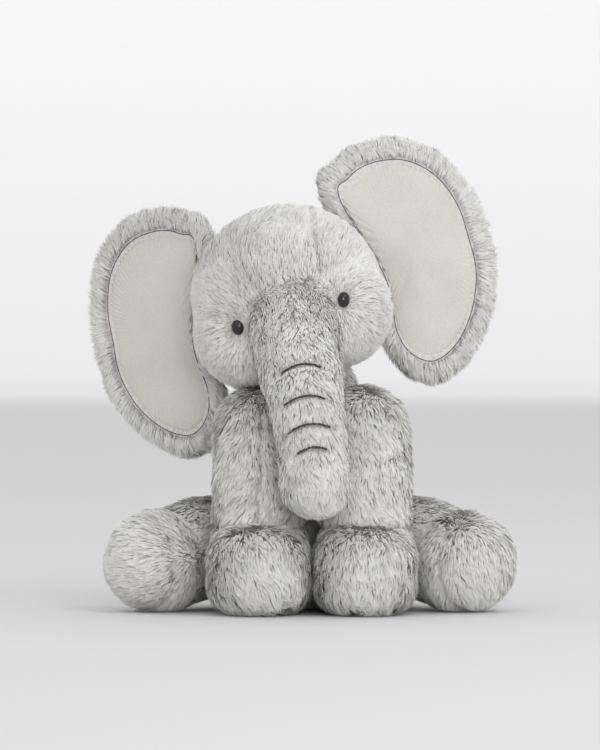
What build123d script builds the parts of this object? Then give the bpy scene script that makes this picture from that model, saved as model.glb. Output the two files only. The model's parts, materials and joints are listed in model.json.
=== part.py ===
"""Sitting stuffed elephant: sewn covers, stuffing, seat pouch, safety eyes and the joints between them."""
from build123d import *
import math
import os

os.makedirs("parts", exist_ok=True)

# ---- driving dimensions, millimetres ----
COVER = 3.0           # pile fabric with its pile pressed flat
SLACK = 0.2           # stuffing stands this far inside its cover
JOINT_GAP = 1.0       # room between two parts that move on each other
LINK_STEP = 0.4       # a later link of a chain starts this much thinner
BODY_X = 8.5          # middle plane of the torso and legs

SEAT_BALL = (Vector(BODY_X, 34, 52), 58.0)
CHEST_BALL = (Vector(BODY_X, 34, 114), 43.0)
BACK_SEAM_Y = 22.0    # belly panel in front of this plane, back panels behind it
SEAT_HEIGHT = 3.0

HEAD_CENTRE = Vector(-9, -6, 220)
HEAD_RADIUS = 65.0
HEAD_ROLL = 14.4      # degrees, top of the head towards -X
GUSSET_HALF_WIDTH = 17.0
NECK_PIVOT = Vector(4, 12, 160)
NECK_RADIUS = 22.0
NECK_THREAD = 1.0
NECK_THREAD_WIDTH = 4.0
NECK_POCKET = 24.2

EYE_SPREAD = 36.7     # from the middle of the face
EYE_DROP = 11.5       # below the middle of the head
EYE_RADIUS = 4.9
EYE_SHANK = 2.0
EYE_SHANK_LENGTH = 11.0
WASHER_RADIUS = 8.0
WASHER_THICK = 1.5

TRUNK = [
    (Vector(-1, -60, 184), 28.0),
    (Vector(4, -95, 148), 25.0),
    (Vector(12, -104, 92), 24.0),
]
TRUNK_LIFTS = (12, 24, 36, 45)              # degrees
STITCH_THICK = 1.6
STITCH_HEIGHTS = (168.0, 149.5, 131.5, 115.5)    # top of each arc
STITCH_HALF_WIDTHS = (13.5, 13.5, 14.5, 10.0)
STITCH_SLOPE = 50.0   # degrees, front of the arc above its ends

EAR_THICK = 11.0
EAR_ROOT_REACH = 60.0     # from the middle of the head to the ear's root
EAR_ROOT_Y = 22.0         # front face of the ear at its root
EAR_ROOT_ANGLE = 13.0     # degrees above level, in the head's own frame
EAR_SHIFT = {"left": 3.0, "right": -5.0}     # along the root line
EAR_SWEEP = {"left": 0.0, "right": 22.0}     # degrees, outer edge back
EAR_OUTLINE = [
    (-3, 49), (12, 62), (34, 65), (61, 56), (81, 33), (89, 2), (86, -28),
    (76, -58), (55, -84), (30, -100), (6, -103), (-8, -90), (-11, -70), (-4, -35),
]
RIM_WIDTH = 9.0
EAR_POCKET = 4.0
SUEDE_DEPTH = 1.5

FRONT_LEG_X = 36.5        # from the middle plane
SHOULDER = (-36.0, 126.0, 32.0)              # y, z, radius
FRONT_ANKLE = (-48.0, 46.0, 30.0)
FRONT_FOOT_Y = -66.0
FRONT_FOOT_RADIUS = 34.0
FRONT_FOOT_HEIGHT = 65.0
ANKLE_SEAM = 62.0
FOOT_EDGE_TOP = 22.0
FOOT_EDGE_BOTTOM = 16.0
SOLE = 3.0

HIP = (42.0, 36.0, 44.0)                     # from the middle plane, y, z
HIP_RADIUS = 36.0
HIND_KNEE = (84.0, -4.0, 38.0)
HIND_KNEE_RADIUS = 33.0
HIND_FOOT_DIRECTION = {"left": 34.0, "right": 40.0}   # degrees outward from straight ahead
HIND_FOOT_CENTRE = (106.0, -22.0, 34.0)
HIND_FOOT_RADIUS = 36.0
HIND_FOOT_LENGTH = 50.0

TAIL_ROOT = Vector(BODY_X, 98.6, 50)
TAIL_END = Vector(BODY_X, 103, 22)
TAIL_RADIUS = 5.0
TUFT_RADIUS = 7.0

POUCH_RADIUS = 25.0
POUCH_HEIGHT = 24.0
POUCH_CLOTH = 0.8
LABEL = (0.6, 22.0, 16.0)       # thick, out of the seam, high
LABEL_HEIGHT = 88.0
LABEL_TURN = -6.0     # degrees from the back seam

CENTRE_SHIFT = Vector(-0.345, 9.0, 0)       # puts the middle of the whole toy over the origin

parts = {}


def along(start, direction, shape):
    """Stand a shape that points up +Z at start so that it points along direction."""
    return Plane(origin=start, z_dir=direction) * shape


def ball_pair(start, start_radius, end, end_radius):
    """Two balls joined by the cone that is tangent to both."""
    axis = end - start
    length = axis.length
    slope = (start_radius - end_radius) / length
    lean = math.asin(slope)

    def on_ball(height, radius, angle):
        return (radius * math.cos(angle), height + radius * math.sin(angle))

    low_half = (lean - math.pi / 2) / 2
    high_half = (lean + math.pi / 2) / 2
    outline = Curve() + [
        ThreePointArc(
            on_ball(0, start_radius, -math.pi / 2),
            on_ball(0, start_radius, low_half),
            on_ball(0, start_radius, lean),
        ),
        Line(on_ball(0, start_radius, lean), on_ball(length, end_radius, lean)),
        ThreePointArc(
            on_ball(length, end_radius, lean),
            on_ball(length, end_radius, high_half),
            on_ball(length, end_radius, math.pi / 2),
        ),
        Line((0, length + end_radius), (0, -start_radius)),
    ]
    profile = make_face(Plane.XZ * outline)
    return along(start, axis, revolve(profile, Axis.Z))


def limb(balls, inset=0.0):
    """A chain of tangent balls and cones, every surface moved inwards by inset."""
    shape = None
    for (start, first), (end, second) in zip(balls, balls[1:]):
        if shape is None:
            shape = ball_pair(start, first - inset, end, second - inset)
        else:
            shape += ball_pair(start, first - inset - LINK_STEP, end, second - inset)
    return shape


def above(height):
    """A block that holds everything above a level."""
    size = 800
    return Pos(0, 0, height + size / 2) * Box(size, size, size)


def block(low, high):
    """A block from one corner to the other."""
    size = [b - a for a, b in zip(low, high)]
    middle = [(a + b) / 2 for a, b in zip(low, high)]
    return Pos(*middle) * Box(*size)


def in_head(x, y, z):
    """A point of the head's own upright frame, in the toy's frame."""
    roll = math.radians(HEAD_ROLL)
    return HEAD_CENTRE + Vector(
        x * math.cos(roll) - z * math.sin(roll),
        y,
        x * math.sin(roll) + z * math.cos(roll),
    )


def side_sign(side):
    """+1 for the elephant's left side, which is +X, and -1 for its right."""
    return 1 if side == "left" else -1


# ---- torso ----
def torso_solid(inset=0.0):
    return limb([SEAT_BALL, CHEST_BALL], inset) & above(inset)


def front_leg_balls(side):
    x = BODY_X + side_sign(side) * FRONT_LEG_X
    return [
        (Vector(x, SHOULDER[0], SHOULDER[1]), SHOULDER[2]),
        (Vector(x, FRONT_ANKLE[0], FRONT_ANKLE[1]), FRONT_ANKLE[2]),
    ]


def front_foot(side, inset=0.0):
    x = BODY_X + side_sign(side) * FRONT_LEG_X
    radius = FRONT_FOOT_RADIUS - inset
    height = FRONT_FOOT_HEIGHT - 2 * inset
    can = Cylinder(radius, height, align=(Align.CENTER, Align.CENTER, Align.MIN))
    can = fillet(can.edges().sort_by(Axis.Z)[-1], FOOT_EDGE_TOP - inset)
    can = fillet(can.edges().sort_by(Axis.Z)[0], FOOT_EDGE_BOTTOM - inset)
    return Pos(x, FRONT_FOOT_Y, inset) * can


def front_leg_solid(side, inset=0.0):
    return limb(front_leg_balls(side), inset) + front_foot(side, inset)


def hind_point(side, place):
    return Vector(BODY_X + side_sign(side) * place[0], place[1], place[2])


def hind_foot(side, inset=0.0):
    turn = math.radians(HIND_FOOT_DIRECTION[side])
    forward = Vector(side_sign(side) * math.sin(turn), -math.cos(turn), 0)
    length = HIND_FOOT_LENGTH - 2 * inset
    can = Cylinder(HIND_FOOT_RADIUS - inset, length)
    can = fillet(can.edges().filter_by(GeomType.CIRCLE), FOOT_EDGE_BOTTOM - inset)
    return along(hind_point(side, HIND_FOOT_CENTRE), forward, can)


def hind_leg_solid(side, inset=0.0):
    balls = [
        (hind_point(side, HIP), HIP_RADIUS),
        (hind_point(side, HIND_KNEE), HIND_KNEE_RADIUS),
    ]
    return (limb(balls, inset) + hind_foot(side, inset)) & above(inset)


def torso_parts():
    pockets = Pos(*NECK_PIVOT) * Sphere(NECK_POCKET)
    for side in ("left", "right"):
        pockets += front_leg_solid(side, -JOINT_GAP)
        pockets += hind_leg_solid(side, -JOINT_GAP) & above(-5)
    shell = torso_solid() - torso_solid(COVER) - pockets
    inner = torso_solid(COVER + SLACK) - pockets
    far = 400
    front = block((-far, -far, SEAT_HEIGHT), (far, BACK_SEAM_Y, far))
    back_right = block((-far, BACK_SEAM_Y, SEAT_HEIGHT), (BODY_X, far, far))
    back_left = block((BODY_X, BACK_SEAM_Y, SEAT_HEIGHT), (far, far, far))
    seat = block((-far, -far, 0), (far, far, SEAT_HEIGHT))
    parts["belly_panel"] = shell & front
    parts["back_panel_right"] = shell & back_right
    parts["back_panel_left"] = shell & back_left
    parts["seat_panel"] = shell & seat

    pouch_place = Pos(BODY_X, 44, SEAT_HEIGHT + 4)
    pouch_outer = Cylinder(POUCH_RADIUS, POUCH_HEIGHT, align=(Align.CENTER, Align.CENTER, Align.MIN))
    pouch_outer = fillet(pouch_outer.edges().filter_by(GeomType.CIRCLE), POUCH_HEIGHT / 3)
    beans = Cylinder(
        POUCH_RADIUS - POUCH_CLOTH,
        POUCH_HEIGHT - 2 * POUCH_CLOTH,
        align=(Align.CENTER, Align.CENTER, Align.MIN),
    )
    beans = fillet(beans.edges().filter_by(GeomType.CIRCLE), POUCH_HEIGHT / 3 - POUCH_CLOTH)
    beans = Pos(0, 0, POUCH_CLOTH) * beans
    clear = pockets
    parts["bean_pouch"] = pouch_place * (pouch_outer - beans) - clear
    parts["bean_filling"] = pouch_place * beans - clear
    parts["torso_stuffing"] = inner - pouch_place * pouch_outer

    outward = Pos(SEAT_BALL[0].X, SEAT_BALL[0].Y, LABEL_HEIGHT) * Rot(0, 0, LABEL_TURN)
    reach = CHEST_BALL[1] - 5
    loop = Pos(0, reach, 0) * Box(*LABEL, align=(Align.CENTER, Align.MIN, Align.MIN))
    parts["care_label"] = outward * loop - torso_solid()


# ---- neck ----
def neck_parts():
    parts["neck_stuffing"] = Pos(*NECK_PIVOT) * Sphere(NECK_RADIUS)
    gap = 0.4
    band = Sphere(NECK_RADIUS + gap + NECK_THREAD) - Sphere(NECK_RADIUS + gap)
    band = band & Box(100, 100, NECK_THREAD_WIDTH)
    parts["neck_thread"] = Pos(*NECK_PIVOT) * band


# ---- head ----
def eye_place(side):
    x = side_sign(side) * EYE_SPREAD
    depth = math.sqrt(HEAD_RADIUS ** 2 - x ** 2 - EYE_DROP ** 2)
    seat = in_head(x, -depth, -EYE_DROP)
    outward = (seat - HEAD_CENTRE).normalized()
    return seat, outward


def trunk_room():
    """The space that the trunk's root needs from hanging to lifted."""
    pivot = TRUNK[0][0]
    room = limb(TRUNK, -JOINT_GAP)
    for lift in TRUNK_LIFTS:
        raised = Rot(-lift, 0, 0) * Pos(*(pivot * -1)) * limb(TRUNK[:2], -JOINT_GAP)
        room += Pos(*pivot) * raised
    return room


def head_parts():
    pockets = Pos(*NECK_PIVOT) * Sphere(NECK_POCKET) + trunk_room()
    shell = Pos(*HEAD_CENTRE) * (Sphere(HEAD_RADIUS) - Sphere(HEAD_RADIUS - COVER)) - pockets
    stuffing = Pos(*HEAD_CENTRE) * Sphere(HEAD_RADIUS - COVER - SLACK) - pockets
    for side in ("left", "right"):
        seat, outward = eye_place(side)
        inward = outward * -1
        up = (Align.CENTER, Align.CENTER, Align.MIN)
        dome = scale(Sphere(EYE_RADIUS), by=(1, 1, 0.72)) & above(0)
        back = Cylinder(EYE_RADIUS, 0.8, align=up)
        dome = Pos(0, 0, 0.8) * dome + back
        shank = Cylinder(EYE_SHANK, EYE_SHANK_LENGTH, align=up)
        washer = Cylinder(WASHER_RADIUS, WASHER_THICK, align=up)
        washer -= Cylinder(EYE_SHANK + 0.05, WASHER_THICK, align=up)
        hole = Cylinder(EYE_SHANK + 0.1, EYE_SHANK_LENGTH + 1, align=up)
        room = Cylinder(WASHER_RADIUS + 0.3, WASHER_THICK + 0.6, align=up)
        proud = seat + outward * 0.4
        eye = along(proud, outward, dome) + along(proud, inward, shank)
        parts["eye_" + side] = eye
        parts["eye_washer_" + side] = along(seat + inward * (COVER + 1.6), inward, washer)
        shell -= along(proud, inward, hole)
        stuffing -= along(proud, inward, hole)
        stuffing -= along(seat + inward * (COVER + 1.3), inward, room)

    far = 400
    slab = Plane(origin=HEAD_CENTRE, x_dir=in_head(1, 0, 0) - HEAD_CENTRE, z_dir=(0, -1, 0))
    strip = slab * Box(2 * GUSSET_HALF_WIDTH, far, far)
    left = slab * (Pos(GUSSET_HALF_WIDTH + far / 2, 0, 0) * Box(far, far, far))
    right = slab * (Pos(-GUSSET_HALF_WIDTH - far / 2, 0, 0) * Box(far, far, far))
    middle = (shell & strip).solids().sort_by(Axis.Z)
    parts["head_gusset"] = middle[-1]
    parts["chin_panel"] = middle[0]
    parts["head_side_left"] = shell & left
    parts["head_side_right"] = shell & right
    parts["head_stuffing"] = stuffing


# ---- trunk ----
def trunk_axis_at(height):
    """The point on the trunk's centre line at a height, and the radius there."""
    for (start, first), (end, second) in zip(TRUNK, TRUNK[1:]):
        if start.Z >= height >= end.Z:
            part = (start.Z - height) / (start.Z - end.Z)
            return start + (end - start) * part, first + (second - first) * part
    raise ValueError("height is off the trunk")


def crease_stitch(height, half_width):
    """A thread that lies on the trunk along a sloping arc, highest at the front."""
    centre, radius = trunk_axis_at(height)
    slope = math.radians(STITCH_SLOPE)
    front = Vector(centre.X, centre.Y - radius, height)
    across = Plane(origin=front, x_dir=(1, 0, 0), z_dir=(0, math.sin(slope), math.cos(slope)))
    reach = 2 * radius
    plate = across * Box(2 * half_width, reach, STITCH_THICK)
    return (limb(TRUNK, -STITCH_THICK) - limb(TRUNK)) & plate


def trunk_parts():
    shell = limb(TRUNK) - limb(TRUNK, COVER)
    top, tip = TRUNK[0][0], TRUNK[-1][0]
    down = (tip - top).normalized()
    seam = Plane(origin=(top + tip) / 2, x_dir=down, z_dir=down.cross(Vector(1, 0, 0)) * -1)
    far = 400
    front = seam * (Pos(0, 0, far / 2) * Box(far, far, far))
    back = seam * (Pos(0, 0, -far / 2) * Box(far, far, far))
    parts["trunk_top_panel"] = shell & front
    parts["trunk_under_panel"] = shell & back
    parts["trunk_stuffing"] = limb(TRUNK, COVER + SLACK)
    for number, (height, half_width) in enumerate(zip(STITCH_HEIGHTS, STITCH_HALF_WIDTHS), 1):
        parts[f"crease_stitch_{number}"] = crease_stitch(height, half_width)


# ---- ears ----
def ear_root(side):
    """The middle of the ear's root line, its outward direction and its upward direction."""
    sign = side_sign(side)
    angle = math.radians(EAR_ROOT_ANGLE)
    out = in_head(sign * math.cos(angle), 0, math.sin(angle)) - HEAD_CENTRE
    up = in_head(-sign * math.sin(angle), 0, math.cos(angle)) - HEAD_CENTRE
    middle = HEAD_CENTRE + out * EAR_ROOT_REACH
    return Vector(middle.X, EAR_ROOT_Y, middle.Z), out, up


def ear_sheet(side, flip, inset):
    """The ear's outline as a flat face, drawn in by inset."""
    points = [Vector(u, v + EAR_SHIFT[side]) for u, v in EAR_OUTLINE]
    drawn = []
    for i, point in enumerate(points):
        run = points[(i + 1) % len(points)] - points[i - 1]
        inward = Vector(-run.Y, run.X) * -1
        moved = point + inward.normalized() * inset
        drawn.append((moved.X, flip * moved.Y))
    return make_face(Spline(*drawn, periodic=True))


def ear_parts(side):
    middle, out, up = ear_root(side)
    sweep = math.radians(EAR_SWEEP[side])
    across = out * math.cos(sweep) + Vector(0, 1, 0) * math.sin(sweep)
    backward = out * -math.sin(sweep) + Vector(0, 1, 0) * math.cos(sweep)
    plane = Plane(origin=middle, x_dir=across, z_dir=backward)
    flip = 1 if plane.y_dir.dot(up) > 0 else -1
    head_room = Pos(*HEAD_CENTRE) * Sphere(HEAD_RADIUS + 2.5)
    depth = EAR_THICK - SUEDE_DEPTH - COVER

    recess = extrude(ear_sheet(side, flip, RIM_WIDTH), SUEDE_DEPTH)
    pocket = Pos(0, 0, SUEDE_DEPTH) * extrude(ear_sheet(side, flip, EAR_POCKET), depth)
    wadding = extrude(ear_sheet(side, flip, EAR_POCKET + SLACK), depth - 2 * SLACK)
    back = extrude(ear_sheet(side, flip, 0), EAR_THICK) - recess - pocket
    parts["ear_back_" + side] = plane * back - head_room
    parts["ear_suede_" + side] = plane * recess - head_room
    parts["ear_wadding_" + side] = plane * (Pos(0, 0, SUEDE_DEPTH + SLACK) * wadding) - head_room


# ---- legs ----
def leg_parts(name, outer, inner, stuffing, seam, sole_cut):
    """Split one leg into its leg cover, foot cover, sole and stuffing."""
    shell = outer - inner
    parts[name + "_cover"] = (shell & seam) - sole_cut
    parts[name + "_foot_cover"] = (shell - seam) - sole_cut
    parts[name + "_sole"] = outer & sole_cut
    parts[name + "_stuffing"] = stuffing - sole_cut


def front_leg_parts(side):
    far = 400
    sole_cut = block((-far, -far, 0), (far, far, SOLE))
    leg_parts(
        "front_" + side,
        front_leg_solid(side),
        front_leg_solid(side, COVER),
        front_leg_solid(side, COVER + SLACK),
        above(ANKLE_SEAM),
        sole_cut,
    )


def hind_leg_parts(side):
    far = 200
    turn = math.radians(HIND_FOOT_DIRECTION[side])
    forward = Vector(side_sign(side) * math.sin(turn), -math.cos(turn), 0)
    centre = hind_point(side, HIND_FOOT_CENTRE)
    heel = Plane(origin=centre - forward * (HIND_FOOT_LENGTH / 2 - 10), z_dir=forward)
    toe = Plane(origin=centre + forward * (HIND_FOOT_LENGTH / 2 - SOLE), z_dir=forward)
    behind_heel = heel * (Pos(0, 0, -far / 2) * Box(far, far, far))
    sole_cut = toe * (Pos(0, 0, far / 2) * Box(far, far, far))
    leg_parts(
        "hind_" + side,
        hind_leg_solid(side),
        hind_leg_solid(side, COVER),
        hind_leg_solid(side, COVER + SLACK),
        behind_heel,
        sole_cut,
    )


# ---- tail ----
def tail_parts():
    cord = ball_pair(TAIL_ROOT, TAIL_RADIUS, TAIL_END, TAIL_RADIUS - 1)
    tuft = along(TAIL_END, Vector(0, 0.3, -1), Sphere(TUFT_RADIUS))
    torso = torso_solid(-JOINT_GAP)
    parts["tail_cover"] = cord - tuft - torso
    parts["tail_tuft"] = tuft - torso


torso_parts()
neck_parts()
head_parts()
trunk_parts()
for each_side in ("left", "right"):
    ear_parts(each_side)
    front_leg_parts(each_side)
    hind_leg_parts(each_side)
tail_parts()

low = [1e9, 1e9, 1e9]
high = [-1e9, -1e9, -1e9]
for name, shape in parts.items():
    shape = Pos(*CENTRE_SHIFT) * shape
    box = shape.bounding_box()
    for i, (a, b) in enumerate(zip(box.min, box.max)):
        low[i] = min(low[i], a)
        high[i] = max(high[i], b)
    export_step(shape, f"parts/{name}.step")
print("box low", [round(v, 2) for v in low], "high", [round(v, 2) for v in high])
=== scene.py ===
"""Sitting stuffed elephant: pile, suede ears, stitched trunk and glass-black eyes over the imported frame."""

import json
import math

import bmesh
import bpy
import numpy as np
from bpy.props import FloatProperty, FloatVectorProperty, IntProperty, PointerProperty
from mathutils import Matrix, Vector
from mathutils.bvhtree import BVHTree
from mathutils.kdtree import KDTree


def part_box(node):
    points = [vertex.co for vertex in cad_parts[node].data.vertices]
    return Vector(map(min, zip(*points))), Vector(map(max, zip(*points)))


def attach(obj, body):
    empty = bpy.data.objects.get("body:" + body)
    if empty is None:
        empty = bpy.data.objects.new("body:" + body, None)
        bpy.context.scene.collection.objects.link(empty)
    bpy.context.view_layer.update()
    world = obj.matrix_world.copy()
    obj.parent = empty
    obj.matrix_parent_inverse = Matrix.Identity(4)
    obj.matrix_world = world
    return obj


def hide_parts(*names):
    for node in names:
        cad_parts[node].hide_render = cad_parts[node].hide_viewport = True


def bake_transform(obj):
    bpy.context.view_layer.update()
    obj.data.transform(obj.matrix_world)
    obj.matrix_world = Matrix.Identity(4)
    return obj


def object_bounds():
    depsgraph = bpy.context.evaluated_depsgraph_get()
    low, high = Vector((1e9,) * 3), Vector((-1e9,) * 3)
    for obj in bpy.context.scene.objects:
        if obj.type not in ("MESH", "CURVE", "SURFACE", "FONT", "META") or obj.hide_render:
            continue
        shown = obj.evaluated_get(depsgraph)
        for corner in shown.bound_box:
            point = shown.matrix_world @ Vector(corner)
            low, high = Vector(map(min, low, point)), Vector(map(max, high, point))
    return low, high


bl_info = {
    "name": "Stuffed elephant",
    "version": (1, 0, 0),
    "blender": (4, 5, 0),
    "location": "3D View > Sidebar > Elephant",
    "description": "Builds the pile, suede, stitches and eyes of a sitting stuffed elephant",
    "category": "Object",
}

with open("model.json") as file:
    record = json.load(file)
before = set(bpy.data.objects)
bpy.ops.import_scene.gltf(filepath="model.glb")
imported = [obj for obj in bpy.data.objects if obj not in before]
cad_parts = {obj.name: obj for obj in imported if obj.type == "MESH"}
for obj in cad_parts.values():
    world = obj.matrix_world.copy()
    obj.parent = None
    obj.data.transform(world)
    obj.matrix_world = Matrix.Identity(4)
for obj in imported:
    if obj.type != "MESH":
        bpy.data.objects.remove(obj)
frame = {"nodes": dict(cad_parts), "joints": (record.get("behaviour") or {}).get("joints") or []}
CAD_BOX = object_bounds()
JOINTS = {joint["name"]: joint for joint in frame["joints"]}
SIDES = ("left", "right")
MM = 0.001


# ---- settings that a user would change ----
class PileSettings(bpy.types.PropertyGroup):
    length: FloatProperty(
        name="Pile length", description="Length of the longest fibres",
        default=0.0105, min=0.002, max=0.03, unit="LENGTH"
    )
    width: FloatProperty(
        name="Lock width", description="Width of one lock of fibres at its root",
        default=0.00068, min=0.0002, unit="LENGTH"
    )
    density: FloatProperty(
        name="Density", description="Locks of fibre on a square millimetre", default=2.3, min=0.1, max=4.0
    )
    clump: FloatProperty(
        name="Clump size", description="Distance between the tufts that the locks gather in",
        default=0.0030, min=0.001, unit="LENGTH"
    )
    root: FloatVectorProperty(
        name="Root colour", description="Colour where the pile parts",
        default=(0.52, 0.487, 0.472), subtype="COLOR", min=0, max=1
    )
    tip: FloatVectorProperty(
        name="Tip colour", description="Colour of the tips",
        default=(0.90, 0.90, 0.872), subtype="COLOR", min=0, max=1
    )
    seed: IntProperty(name="Seed", description="Start of the order of random draws", default=11, min=0)


class ClothSettings(bpy.types.PropertyGroup):
    suede: FloatVectorProperty(
        name="Suede colour", description="Lining of the ears",
        default=(0.64, 0.628, 0.58), subtype="COLOR", min=0, max=1
    )
    thread: FloatVectorProperty(
        name="Crease thread", description="Thread of the trunk creases",
        default=(0.012, 0.012, 0.013), subtype="COLOR", min=0, max=1
    )
    thread_width: FloatProperty(
        name="Thread width", description="Thickness of the crease thread",
        default=0.0014, min=0.0004, unit="LENGTH"
    )
    eye_width: FloatProperty(
        name="Eye width", description="Diameter of the eye's dome", default=0.0096, min=0.003, unit="LENGTH"
    )


class StageSettings(bpy.types.PropertyGroup):
    distance: FloatProperty(
        name="Camera distance", description="From the camera to the toy", default=4.0, min=0.5, unit="LENGTH"
    )
    elevation: FloatProperty(
        name="Camera elevation", description="Angle above the floor",
        default=math.radians(1.2), subtype="ANGLE"
    )
    frame_height: FloatProperty(
        name="Frame height", description="Height of the picture at the toy",
        default=0.525, min=0.1, unit="LENGTH"
    )
    key: FloatProperty(name="Key light", description="Power of the main light in watts", default=10.5, min=0)
    fill: FloatProperty(
        name="Fill light", description="Strength of the light from all round",
        default=0.84, min=0
    )


# ---- small helpers ----
def settings():
    scene = bpy.context.scene
    return scene.elephant_pile, scene.elephant_cloth, scene.elephant_stage


def box_centre(*nodes):
    """The middle of the box that holds all these CAD nodes."""
    corners = [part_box(node) for node in nodes]
    low = Vector([min(c[0][i] for c in corners) for i in range(3)])
    high = Vector([max(c[1][i] for c in corners) for i in range(3)])
    return (low + high) / 2, high - low


def joint_place(name):
    return Vector(JOINTS[name]["pos_m"])


def add_object(name, mesh):
    thing = bpy.data.objects.new(name, mesh)
    bpy.context.scene.collection.objects.link(thing)
    return thing


def shade_smooth(mesh):
    mesh.polygons.foreach_set("use_smooth", [True] * len(mesh.polygons))


def finished(thing, *modifiers):
    """Put modifiers on a thing, each (kind, settings), and make their result its mesh."""
    for kind, values in modifiers:
        modifier = thing.modifiers.new(kind.lower(), kind)
        for key, value in values.items():
            setattr(modifier, key, value)
    bpy.context.view_layer.update()
    graph = bpy.context.evaluated_depsgraph_get()
    mesh = bpy.data.meshes.new_from_object(thing.evaluated_get(graph))
    old = thing.data
    thing.modifiers.clear()
    thing.data = mesh
    mesh.name = thing.name
    bpy.data.meshes.remove(old)
    return thing


def ball(bm, centre, radius, stretch=(1, 1, 1), turn=None):
    """One stretched ball in a bmesh."""
    matrix = Matrix.Translation(centre)
    if turn is not None:
        matrix = matrix @ turn
    matrix = matrix @ Matrix.Diagonal((*stretch, 1))
    bmesh.ops.create_icosphere(bm, subdivisions=3, radius=radius, matrix=matrix)


def ball_chain(bm, stops, steps=7):
    """Balls along a chain of stops, each (centre, radius) or (centre, radius, stretch)."""
    for first, second in zip(stops, stops[1:]):
        for i in range(steps + 1):
            t = i / steps
            ease = t * t * (3 - 2 * t)
            centre = first[0].lerp(second[0], t)
            radius = first[1] * (1 - ease) + second[1] * ease
            ball(bm, centre, radius)


def stuffed(name, bm, voxel=0.003, smooth=10, floor=None):
    """Join the balls of a bmesh into one soft closed skin."""
    mesh = bpy.data.meshes.new(name)
    bm.to_mesh(mesh)
    bm.free()
    thing = add_object(name, mesh)
    finished(
        thing,
        ("REMESH", {"mode": "VOXEL", "voxel_size": voxel, "use_smooth_shade": True}),
        ("SMOOTH", {"factor": 0.6, "iterations": smooth}),
    )
    if floor is not None:
        for vertex in thing.data.vertices:
            if vertex.co.z < floor:
                vertex.co.z = floor + (vertex.co.z - floor) * 0.06
    shade_smooth(thing.data)
    return thing


# ---- pile ----
def waves(points, scale, seed, count=7):
    """Smooth noise from -1 to 1 at many points at once."""
    rng = np.random.default_rng(seed)
    total = np.zeros(len(points))
    for _ in range(count):
        direction = rng.normal(size=3)
        direction /= np.linalg.norm(direction)
        stretch = rng.uniform(0.6, 1.7)
        total += np.sin(points @ direction * (2 * math.pi * stretch / scale) + rng.uniform(0, 6.28))
    return total / math.sqrt(count)


def unit(rows):
    return rows / np.maximum(np.linalg.norm(rows, axis=1), 1e-9)[:, None]


def scatter(skin, count, rng, keep=None):
    """Random points on a skin, with the smooth normal at each."""
    mesh = skin.data
    mesh.calc_loop_triangles()
    co = np.empty(len(mesh.vertices) * 3, np.float32)
    mesh.vertices.foreach_get("co", co)
    co = co.reshape(-1, 3).astype(float)
    normals = np.empty(len(mesh.vertices) * 3, np.float32)
    mesh.vertex_normals.foreach_get("vector", normals)
    normals = normals.reshape(-1, 3).astype(float)
    triangles = np.empty(len(mesh.loop_triangles) * 3, np.int32)
    mesh.loop_triangles.foreach_get("vertices", triangles)
    triangles = triangles.reshape(-1, 3)
    a, b, c = (co[triangles[:, i]] for i in range(3))
    area = np.linalg.norm(np.cross(b - a, c - a), axis=1) / 2
    if keep is not None:
        area = area * keep((a + b + c) / 3, unit(np.cross(b - a, c - a)))
    picked = rng.choice(len(area), count, p=area / area.sum())
    r1, r2 = np.sqrt(rng.random(count)), rng.random(count)
    weights = np.stack([1 - r1, r1 * (1 - r2), r1 * r2], 1)[:, :, None]
    rows = triangles[picked]
    return (co[rows] * weights).sum(1), unit((normals[rows] * weights).sum(1))


def lock_template():
    """One lock of fibres, 1 long and 1 wide: its points as (across, along), and its faces."""
    bm = bmesh.new()
    bmesh.ops.create_grid(bm, x_segments=1, y_segments=2, size=0.5)
    top = max(v.co.y for v in bm.verts)
    tips = [v for v in bm.verts if abs(v.co.y - top) < 1e-6]
    bmesh.ops.pointmerge(bm, verts=tips, merge_co=Vector((0, top, 0)))
    bm.verts.index_update()
    points = np.array([(v.co.x, v.co.y + 0.5) for v in bm.verts])
    faces = [[v.index for v in f.verts] for f in bm.faces]
    bm.free()
    return points, faces


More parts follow.
